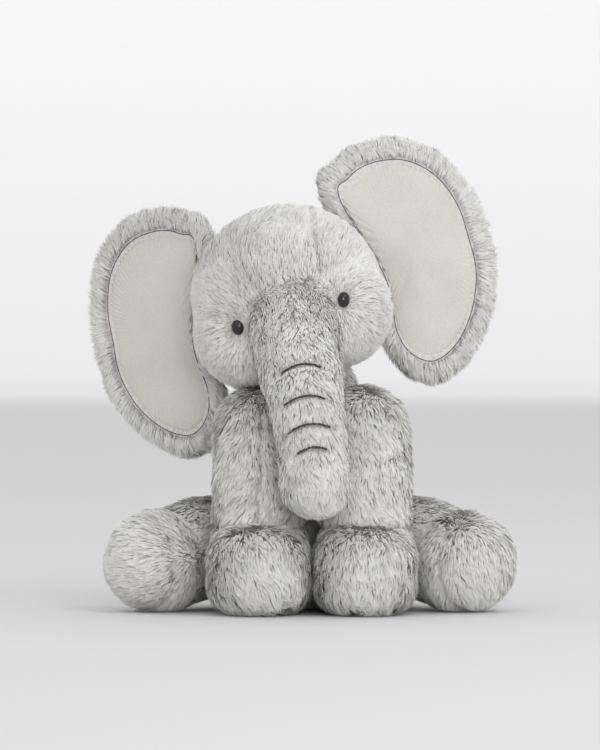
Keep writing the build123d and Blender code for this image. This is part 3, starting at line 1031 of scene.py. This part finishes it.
def build_front_leg(side):
    shoulder = joint_place(f"front_leg_{side}_swing")
    sign = 1 if side == "left" else -1
    low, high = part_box(f"front_{side}_foot_cover")
    front_y = low.y
    bm = bmesh.new()
    ankle = Vector((shoulder.x, shoulder.y - 0.011, high.z - 0.008))
    knee = shoulder.lerp(ankle, 0.5)
    ball_chain(bm, [
        (shoulder + Vector((sign * -0.001, 0.0, 0.0)), 0.0288),
        (knee + Vector((0, -0.001, 0)), 0.0288),
        (ankle, 0.0286),
    ], 6)
    middle = Vector((shoulder.x, front_y + 0.0345, high.z / 2))
    for lift in (-0.006, 0.0, 0.008):
        ball(bm, middle + Vector((0, 0, lift)), 0.0318, (1.02, 1.04, 0.80))
    ball(bm, middle + Vector((0, 0.006, -0.012)), 0.0305, (1.05, 1.10, 0.62))
    ball(bm, middle + Vector((0, -0.004, 0.012)), 0.0285, (1.06, 1.0, 0.70))
    skin = stuffed(f"front_leg_{side}_skin", bm, voxel=0.0028, smooth=9, floor=0.0016)
    seam_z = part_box(f"front_{side}_cover")[0].z
    for vertex, normal in zip(skin.data.vertices, [v.normal.copy() for v in skin.data.vertices]):
        gap = (vertex.co.z - seam_z) / 0.0032
        if abs(gap) < 3:
            vertex.co -= normal * 0.0022 * math.exp(-gap * gap)
        if side == "right" and normal.y < -0.2 and vertex.co.z > seam_z:
            groove = (vertex.co.x - (shoulder.x + 0.0005)) / 0.0026
            if abs(groove) < 3:
                vertex.co -= normal * 0.0030 * math.exp(-groove * groove)
    return skin


def front_leg_flow_for(side):
    seam_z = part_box(f"front_{side}_cover")[0].z

    def flow(points, normals):
        comb = np.tile(np.array([0.0, -0.06, -1.0]), (len(points), 1))
        comb[:, 0] += 0.28 * waves(points, 0.07, 5)
        onfoot = np.clip((seam_z - points[:, 2]) / 0.012, 0, 1)[:, None]
        comb = comb + onfoot * np.array([0.10, -0.55, 0.1])
        return comb

    return flow


def front_leg_shape_for(side):
    shoulder = joint_place(f"front_leg_{side}_swing")
    seam_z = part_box(f"front_{side}_cover")[0].z

    def shape(points, normals):
        gap = (points[:, 2] - seam_z - 0.002) / 0.0026
        crease = np.exp(-gap * gap)
        above = np.clip((points[:, 2] - seam_z) / 0.007, 0.0, 1)
        shorter = np.where(points[:, 2] > seam_z, 0.42 + 0.58 * above, 1.0)
        patch = np.clip(waves(points, 0.045, 77 if side == "left" else 78) - 0.25, 0, 1)
        # painted shade on the upper front of each leg, under the head
        shade_under_head = np.clip((points[:, 2] - 0.10) / 0.03, 0, 1) * (normals[:, 1] < 0)
        # painted light: 0.24 makes the legs' pile lighter than the head's. Painted shade: the right leg is
        # darker above its seam, and the ankle crease carries a dark band. The patches are tone that differs at
        # random.
        tone = 0.24 - 0.12 * (side == "right") * (points[:, 2] > seam_z) - 0.26 * crease - 0.24 * patch
        tone = tone - (0.12 * shade_under_head if side == "left" else 0.05 * shade_under_head)
        length = shorter
        lift = 1 + 0.35 * patch
        if side == "right":
            groove = np.exp(-((points[:, 0] - shoulder.x - 0.0005) / 0.0022) ** 2)
            groove = groove * (normals[:, 1] < -0.1) * (points[:, 2] > seam_z)
            # painted shade in the right leg's front groove
            tone = tone - 0.45 * groove
            length = length * (1 - 0.5 * groove)
        return length, lift, tone

    return shape


def hind_places(side):
    hip = joint_place(f"hind_leg_{side}_swing")
    foot = box_centre(f"hind_{side}_foot_cover", f"hind_{side}_sole")[0]
    sole = box_centre(f"hind_{side}_sole")[0]
    forward = sole - foot
    forward.z = 0
    return hip, foot, forward.normalized()


def whorl_place(side, foot):
    """The point that the pile of a hind foot turns round."""
    if side == "right":
        return foot + np.array([0.034, -0.02, 0.004])
    return foot + np.array([-0.004, -0.02, 0.036])


def build_hind_leg(side):
    hip, foot, forward = hind_places(side)
    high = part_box(f"hind_{side}_foot_cover")[1]
    turn = forward.to_track_quat("Y", "Z").to_matrix().to_4x4()
    bm = bmesh.new()
    middle = Vector((foot.x, foot.y, high.z / 2))
    knee = hip.lerp(middle, 0.55) + Vector((0, 0, 0.004))
    ball_chain(bm, [(hip, 0.0335), (knee, 0.0320), (middle - forward * 0.006, 0.0300)], 6)
    for shift, radius in ((-0.012, 0.0300), (0.0, 0.0318), (0.010, 0.0300)):
        ball(bm, middle + forward * shift, radius, (1.03, 0.78, 1.03), turn)
    skin = stuffed(f"hind_leg_{side}_skin", bm, voxel=0.0030, smooth=9, floor=0.0016)
    for vertex, normal in zip(skin.data.vertices, [v.normal.copy() for v in skin.data.vertices]):
        gap = ((vertex.co - middle).dot(forward) - 0.013) / 0.0028
        if abs(gap) < 3:
            vertex.co -= normal * 0.0016 * math.exp(-gap * gap)
    return skin


def hind_flow_for(side):
    foot, forward = (np.array(p) for p in hind_places(side)[1:])
    whorl = whorl_place(side, foot)

    def flow(points, normals):
        face = np.clip(((points - foot) @ forward + 0.012) / 0.012, 0, 1)[:, None]
        radial = away_from(points, whorl)
        if side == "right":
            comb = radial + np.array([-0.45, 0, -0.15])
        else:
            comb = np.tile(np.array([0.10, -0.05, -1.0]), (len(points), 1)) + radial * 0.35
        leg = unit(forward[None, :] * 0.8 + np.array([0, 0, -0.5]))
        return comb * face + leg * (1 - face)

    return flow


def hind_shape_for(side):
    foot, forward = (np.array(p) for p in hind_places(side)[1:])
    whorl = whorl_place(side, foot)

    def shape(points, normals):
        gap = ((points - foot) @ forward - 0.013) / 0.0024
        crease = np.exp(-gap * gap)
        spot = np.exp(-(np.linalg.norm(points - whorl, axis=1) / 0.011) ** 2)
        patch = np.clip(waves(points, 0.04, 90) - 0.35, 0, 1)
        # painted light: 0.26 makes the hind legs' pile lighter than the head's. Painted shade: a dark band in
        # the ankle crease. The pile is also darker round the whorl and in random patches.
        tone = 0.26 - 0.22 * crease - 0.32 * spot - 0.18 * patch
        return 1 - 0.35 * crease, 1 + 0.25 * spot, tone

    return shape


def build_tail():
    low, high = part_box("tail_cover")
    tuft = box_centre("tail_tuft")[0]
    bm = bmesh.new()
    root = Vector((tuft.x, (low.y + high.y) / 2 - 0.002, high.z - 0.004))
    ball_chain(bm, [(root, 0.0034), (root.lerp(tuft, 0.5), 0.0032), (tuft, 0.0042)], 5)
    return stuffed("tail_skin", bm, voxel=0.0012, smooth=4)


# ---- dressing a skin ----
def skin_area(skin):
    return sum(p.area for p in skin.data.polygons)


def dress(skin, body, nodes, fill, flow, seed, density=1.0, **options):
    """Give a skin its backing and its pile, hide the CAD nodes they replace, and hang both on a body, or fix
    both where they stand when the body is a tuple.
    """
    look = settings()[0]
    skin.data.materials.clear()
    skin.data.materials.append(backing_material())
    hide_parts(*nodes)
    most = 65000
    count = min(most, int(skin_area(skin) * 1e6 * look.density * density))
    coat = pile(skin.name.replace("_skin", "_pile"), skin, count, flow, seed, **options)
    for thing in (skin, coat):
        if isinstance(body, tuple):
            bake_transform(thing)
        else:
            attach(thing, body)
    return coat


# ---- operators ----
class ELEPHANT_OT_head(bpy.types.Operator):
    """Build the head's skin and pile"""
    bl_idname = "elephant.head"
    bl_label = "Head"

    def execute(self, context):
        skin = build_head()
        nodes = ("head_gusset", "chin_panel", "head_side_left", "head_side_right", "head_stuffing")
        dress(skin, "head", nodes, 0.8, head_flow, 101, keep=front_half, shape=head_shape, length=0.86)
        back = pile("head_back_pile", skin, 38000, head_flow, 102, shape=head_shape,
                    keep=back_half)
        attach(back, "head")
        return {"FINISHED"}


class ELEPHANT_OT_trunk(bpy.types.Operator):
    """Build the trunk with its stitched creases"""
    bl_idname = "elephant.trunk"
    bl_label = "Trunk"

    def execute(self, context):
        skin = build_trunk()
        build_crease_threads(skin)
        nodes = ("trunk_top_panel", "trunk_under_panel", "trunk_stuffing")
        dress(skin, ("head", "trunk", *trunk_bend()), nodes, 0.8, trunk_flow, 201, density=1.6,
              shape=trunk_shape, length=0.9)
        return {"FINISHED"}


class ELEPHANT_OT_ears(bpy.types.Operator):
    """Build both ears with their suede linings"""
    bl_idname = "elephant.ears"
    bl_label = "Ears"

    def execute(self, context):
        for seed, side in enumerate(SIDES):
            skin = build_ear(side)
            nodes = (f"ear_back_{side}", f"ear_wadding_{side}")
            dress(skin, f"ear_{side}", nodes, 0.3, ear_flow_for(side), 301 + seed, density=0.75,
                  keep=ear_keep_for(side))
            build_lining(side)
            build_lining_seam(side)
        return {"FINISHED"}


class ELEPHANT_OT_torso(bpy.types.Operator):
    """Build the torso"""
    bl_idname = "elephant.torso"
    bl_label = "Torso"

    def execute(self, context):
        skin = build_torso()
        nodes = ("belly_panel", "back_panel_left", "back_panel_right", "seat_panel", "torso_stuffing")
        dress(skin, "torso", nodes, 0.7, torso_flow, 401, density=0.4)
        return {"FINISHED"}


class ELEPHANT_OT_front_legs(bpy.types.Operator):
    """Build both front legs"""
    bl_idname = "elephant.front_legs"
    bl_label = "Front legs"

    def execute(self, context):
        for seed, side in enumerate(SIDES):
            skin = build_front_leg(side)
            nodes = [f"front_{side}_{part}" for part in ("cover", "foot_cover", "sole", "stuffing")]
            dress(skin, f"front_leg_{side}", nodes, 0.7, front_leg_flow_for(side), 501 + seed,
                  shape=front_leg_shape_for(side))
        return {"FINISHED"}


class ELEPHANT_OT_hind_legs(bpy.types.Operator):
    """Build both hind legs"""
    bl_idname = "elephant.hind_legs"
    bl_label = "Hind legs"

    def execute(self, context):
        for seed, side in enumerate(SIDES):
            skin = build_hind_leg(side)
            nodes = [f"hind_{side}_{part}" for part in ("cover", "foot_cover", "sole", "stuffing")]
            dress(skin, f"hind_leg_{side}", nodes, 0.7, hind_flow_for(side), 601 + seed,
                  shape=hind_shape_for(side))
        return {"FINISHED"}


class ELEPHANT_OT_tail(bpy.types.Operator):
    """Build the tail and its tuft"""
    bl_idname = "elephant.tail"
    bl_label = "Tail"

    def execute(self, context):
        skin = build_tail()
        dress(skin, "tail", ("tail_cover", "tail_tuft"), 0.7, down_flow, 701, density=3.5)
        return {"FINISHED"}


class ELEPHANT_OT_eyes(bpy.types.Operator):
    """Build the two black eyes"""
    bl_idname = "elephant.eyes"
    bl_label = "Eyes"

    def execute(self, context):
        cloth = settings()[1]
        for side in SIDES:
            outward = eye_seat(side)[1]
            radius = cloth.eye_width / 2
            far = (HEAD_SIZE.x / 2 + PILE_ABOVE) + EYE_PROUD
            turn = outward.to_track_quat("Z", "Y").to_matrix().to_4x4()
            place = Matrix.Translation(HEAD + outward * far) @ turn
            bm = bmesh.new()
            bmesh.ops.create_uvsphere(bm, u_segments=40, v_segments=24, radius=radius)
            bmesh.ops.scale(bm, vec=(0.94, 1.14, 0.76), verts=bm.verts)
            stem = bmesh.ops.create_cone(
                bm, cap_ends=True, segments=24, radius1=0.002, radius2=0.002, depth=0.010
            )
            bmesh.ops.translate(bm, verts=stem["verts"], vec=(0, 0, -0.0062))
            bmesh.ops.transform(bm, matrix=place, verts=bm.verts)
            mesh = bpy.data.meshes.new(f"eye_{side}_dome")
            bm.to_mesh(mesh)
            bm.free()
            shade_smooth(mesh)
            eye = add_object(f"eye_{side}_dome", mesh)
            mesh.materials.append(eye_material())
            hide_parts("eye_" + side)
            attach(eye, "head")
        return {"FINISHED"}


class ELEPHANT_OT_inner(bpy.types.Operator):
    """Give the pieces inside the toy their finishes"""
    bl_idname = "elephant.inner"
    bl_label = "Inner pieces"

    def execute(self, context):
        finishes = {
            "neck_stuffing": cloth_material("fibre", (0.80, 0.80, 0.78), 300, 0.12, 1.0, 0.3, 0.0015),
            "neck_thread": cloth_material("neck_thread", (0.42, 0.41, 0.39), 2200, 0.3, 0.8, 0.1, 0.0003, True),
            "bean_pouch": cloth_material(
                "pouch_cotton", (0.72, 0.70, 0.65), 1500, 0.15, 0.9, 0.1, 0.0003, True
            ),
            "bean_filling": cloth_material("pellets", (0.80, 0.80, 0.77), 330, 0.2, 0.45, 0.0, 0.002),
            "care_label": cloth_material("label_satin", (0.86, 0.86, 0.84), 1800, 0.06, 0.5, 0.2, 0.0001, True),
            "eye_washer_left": cloth_material("washer", (0.75, 0.75, 0.72), 500, 0.05, 0.5, 0.0, 0.0001),
            "eye_washer_right": cloth_material("washer", (0.75, 0.75, 0.72), 500, 0.05, 0.5, 0.0, 0.0001),
        }
        for node, material in finishes.items():
            thing = frame["nodes"][node]
            if not thing.data.materials:
                thing.data.materials.append(material)
            for i in range(len(thing.data.materials)):
                thing.data.materials[i] = material
        return {"FINISHED"}


class ELEPHANT_OT_stage(bpy.types.Operator):
    """Build the floor, the lights and the camera"""
    bl_idname = "elephant.stage"
    bl_label = "Stage"

    def execute(self, context):
        stage = settings()[2]
        bm = bmesh.new()
        start = bm.verts.new((-6, -7, 0))
        end = bm.verts.new((-6, 5.2, 0))
        bm.edges.new((start, end))
        bmesh.ops.spin(bm, geom=[end], cent=(0, 5.2, 1.2), axis=(1, 0, 0), dvec=(0, 0, 0), angle=math.pi / 2,
                       steps=24, use_merge=False)
        top = max(bm.verts, key=lambda v: (v.co.y, v.co.z))
        grown = bmesh.ops.extrude_vert_indiv(bm, verts=[top])
        bmesh.ops.translate(bm, verts=grown["verts"], vec=(0, 0, 4))
        swept = bmesh.ops.extrude_edge_only(bm, edges=bm.edges)
        side = [g for g in swept["geom"] if isinstance(g, bmesh.types.BMVert)]
        bmesh.ops.translate(bm, verts=side, vec=(12, 0, 0))
        bmesh.ops.remove_doubles(bm, verts=bm.verts, dist=1e-5)
        bmesh.ops.recalc_face_normals(bm, faces=bm.faces)
        mesh = bpy.data.meshes.new("backdrop")
        bm.to_mesh(mesh)
        bm.free()
        shade_smooth(mesh)
        backdrop = add_object("backdrop", mesh)
        if mesh.polygons[0].normal.z < 0:
            mesh.flip_normals()
        mesh.materials.append(backdrop_material())

        world = bpy.data.worlds.new("studio")
        world.use_nodes = True
        sky = world.node_tree.nodes["Background"]
        sky.inputs[0].default_value = (1.0, 1.0, 1.0, 1)
        sky.inputs[1].default_value = stage.fill
        context.scene.world = world
        context.scene.view_settings.view_transform = "Standard"

        aim = Vector((0, -0.02, 0.15))
        for name, place, size, power in (
            ("key", (1.25, -1.5, 1.75), 1.5, stage.key),
            ("front", (1.1, -4.6, 0.75), 2.4, stage.key * 6.0),
            ("top", (0.1, 0.5, 2.1), 1.6, stage.key * 0.25),
        ):
            light = bpy.data.lights.new(name, "AREA")
            light.shape = "DISK"
            light.size = size
            light.energy = power
            lamp = bpy.data.objects.new(name, light)
            lamp.location = place
            lamp.rotation_euler = (aim - Vector(place)).to_track_quat("-Z", "Y").to_euler()
            context.scene.collection.objects.link(lamp)

        low, high = CAD_BOX
        aim = Vector((0.0, 0.0, (low[2] + high[2]) / 2 + 0.0005))
        camera = bpy.data.cameras.new("camera")
        camera.sensor_fit = "VERTICAL"
        camera.sensor_height = 24
        camera.lens = camera.sensor_height * stage.distance / stage.frame_height
        camera.clip_end = 50
        eye = bpy.data.objects.new("camera", camera)
        tilt = stage.elevation
        eye.location = aim + Vector((0, -math.cos(tilt), math.sin(tilt))) * stage.distance
        eye.rotation_euler = (math.pi / 2 - tilt, 0, 0)
        context.scene.collection.objects.link(eye)
        context.scene.camera = eye
        return {"FINISHED"}


def backdrop_material():
    material, tree = new_material("backdrop")
    shader = shader_of(tree)
    place = tree.nodes.new("ShaderNodeTexCoord")
    split = tree.nodes.new("ShaderNodeSeparateXYZ")
    tree.links.new(place.outputs["Object"], split.inputs[0])
    # painted light: the backdrop is darker on the floor and lighter up the wall, and the wall glows
    painted_shading_greys = [(0.0, (0.70, 0.70, 0.704)), (0.05, (0.80, 0.80, 0.80)), (0.8, (0.90, 0.90, 0.90))]
    colour = link_ramp(tree, split.outputs[2], painted_shading_greys)
    tree.links.new(colour, shader.inputs["Base Color"])
    painted_glow_stops = [(0.0, (0, 0, 0)), (0.02, (0.12, 0.12, 0.12)), (0.8, (0.19, 0.19, 0.19))]
    painted_glow = link_ramp(tree, split.outputs[2], painted_glow_stops)
    tree.links.new(painted_glow, shader.inputs["Emission Color"])
    shader.inputs["Emission Strength"].default_value = 1.0
    shader.inputs["Roughness"].default_value = 0.9
    shader.inputs["Specular IOR Level"].default_value = 0.1
    return material


OPERATORS = (
    ELEPHANT_OT_stage,
    ELEPHANT_OT_head,
    ELEPHANT_OT_trunk,
    ELEPHANT_OT_ears,
    ELEPHANT_OT_torso,
    ELEPHANT_OT_front_legs,
    ELEPHANT_OT_hind_legs,
    ELEPHANT_OT_tail,
    ELEPHANT_OT_eyes,
    ELEPHANT_OT_inner,
)


class ELEPHANT_PT_panel(bpy.types.Panel):
    """Sizes, colours and pieces of the stuffed elephant"""
    bl_idname = "ELEPHANT_PT_panel"
    bl_label = "Stuffed elephant"
    bl_space_type = "VIEW_3D"
    bl_region_type = "UI"
    bl_category = "Elephant"

    def draw(self, context):
        for group in settings():
            column = self.layout.column(align=True)
            for key in type(group).__annotations__:
                column.prop(group, key)
        for operator in OPERATORS:
            self.layout.operator(operator.bl_idname)


CLASSES = (PileSettings, ClothSettings, StageSettings, *OPERATORS, ELEPHANT_PT_panel)


def register():
    for cls in CLASSES:
        bpy.utils.register_class(cls)
    bpy.types.Scene.elephant_pile = PointerProperty(type=PileSettings)
    bpy.types.Scene.elephant_cloth = PointerProperty(type=ClothSettings)
    bpy.types.Scene.elephant_stage = PointerProperty(type=StageSettings)


def unregister():
    for name in ("elephant_pile", "elephant_cloth", "elephant_stage"):
        delattr(bpy.types.Scene, name)
    for cls in reversed(CLASSES):
        bpy.utils.unregister_class(cls)


def main():
    register()
    bpy.ops.elephant.stage()
    bpy.ops.elephant.head()
    bpy.ops.elephant.trunk()
    bpy.ops.elephant.ears()
    bpy.ops.elephant.torso()
    bpy.ops.elephant.front_legs()
    bpy.ops.elephant.hind_legs()
    bpy.ops.elephant.tail()
    bpy.ops.elephant.eyes()
    bpy.ops.elephant.inner()


if __name__ == "__main__":
    main()
